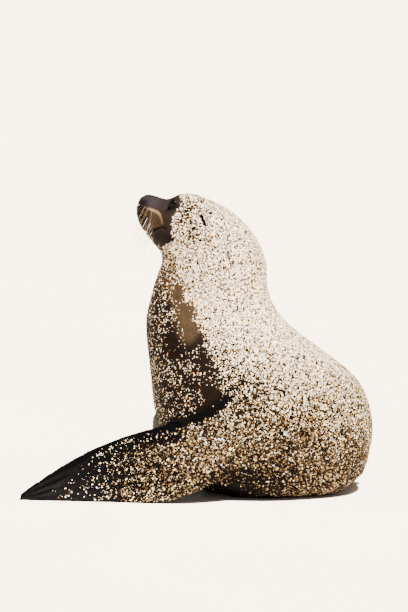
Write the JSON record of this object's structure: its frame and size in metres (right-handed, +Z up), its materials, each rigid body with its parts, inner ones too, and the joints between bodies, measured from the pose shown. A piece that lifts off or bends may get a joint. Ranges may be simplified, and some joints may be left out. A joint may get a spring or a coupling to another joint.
{
  "type": "sea lion",
  "caption": "Young Galapagos sea lion sitting upright with its snout raised, dusted with coarse shell sand, as a life-size still model.",
  "frame": {"origin": "middle of the model's outline, on the floor it sits on", "axes": "+Z up; the chest looks towards -X, the animal's left side is towards -Y and its hips and hind flippers lie towards +Y"},
  "size_m": [0.7124, 0.73, 0.667],
  "materials": {
    "coat": "short fur that lies flat, caked with pale sand",
    "bare_skin": "bare black hide, satin",
    "eye": "wet, near black",
    "horn": "dark nail horn, satin",
    "sand": "loose shell and lava grains stuck to the coat"
  },
  "bodies": {
    "root": {"nose": "bare_skin", "head": "coat", "neck": "coat", "trunk": "coat", "hindquarters": "coat", "tail": "coat", "eye_left": "eye", "eye_right": "eye", "ear_left": "bare_skin", "ear_right": "bare_skin", "foreflipper_left": "coat", "foreflipper_right": "coat", "hindflipper_left": "bare_skin", "hindflipper_right": "bare_skin", "hind_claw_left_1": "horn", "hind_claw_left_2": "horn", "hind_claw_left_3": "horn", "hind_claw_right_1": "horn", "hind_claw_right_2": "horn", "hind_claw_right_3": "horn"}
  },
  "joints": []
}
